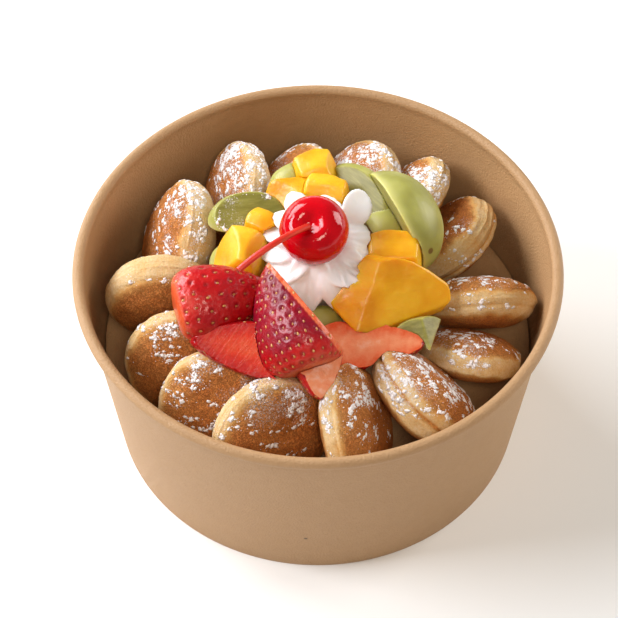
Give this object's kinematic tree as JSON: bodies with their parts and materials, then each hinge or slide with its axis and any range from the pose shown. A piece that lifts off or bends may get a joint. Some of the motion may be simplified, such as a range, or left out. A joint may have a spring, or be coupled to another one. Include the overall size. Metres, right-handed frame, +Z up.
{
  "type": "bowl of mini pancakes",
  "caption": "Round paper bowl with a ring of small pancakes on edge, topped with cut strawberry, mango and grape, whipped cream and a cherry.",
  "frame": {"origin": "centre of the bowl's foot, on the table", "axes": "+Z up along the bowl's axis; -Y is the side the strawberries are on, +X is the side of the large mango piece"},
  "size_m": [0.15, 0.15, 0.0952],
  "materials": {
    "paper": "matt uncoated brown kraft paper",
    "pancake": "matt browned crust with a pale golden edge and powdered sugar",
    "strawberry": "wet glossy red skin, paler orange-pink flesh where cut",
    "mango": "moist satin yellow-orange flesh",
    "grape": "moist translucent pale green",
    "cream": "soft satin white",
    "cherry": "very glossy translucent red",
    "cherry_stem": "satin translucent red"
  },
  "bodies": {
    "root": {"bowl_wall": "paper", "bowl_floor": "paper", "pancake_01": "pancake", "pancake_02": "pancake", "pancake_03": "pancake", "pancake_04": "pancake", "pancake_05": "pancake", "pancake_06": "pancake", "pancake_07": "pancake", "pancake_08": "pancake", "pancake_09": "pancake", "pancake_10": "pancake", "pancake_11": "pancake", "pancake_12": "pancake", "pancake_13": "pancake", "pancake_14": "pancake", "cherry": "cherry", "cherry_stem": "cherry_stem", "strawberry_centre": "strawberry", "strawberry_left": "strawberry", "cream": "cream", "mango_front": "mango", "mango_right": "mango", "mango_back_front": "mango", "mango_back_left": "mango", "mango_back": "mango", "mango_left_small": "mango", "mango_left": "mango", "strawberry_tip": "strawberry", "strawberry_slice_left": "strawberry", "strawberry_slice_right": "strawberry", "grape_right": "grape", "grape_left": "grape", "grape_back_right": "grape", "grape_back": "grape", "grape_right_low": "grape", "grape_front_right": "grape", "grape_right_edge": "grape", "grape_under_cream": "grape", "grape_left_low": "grape"}
  },
  "joints": []
}
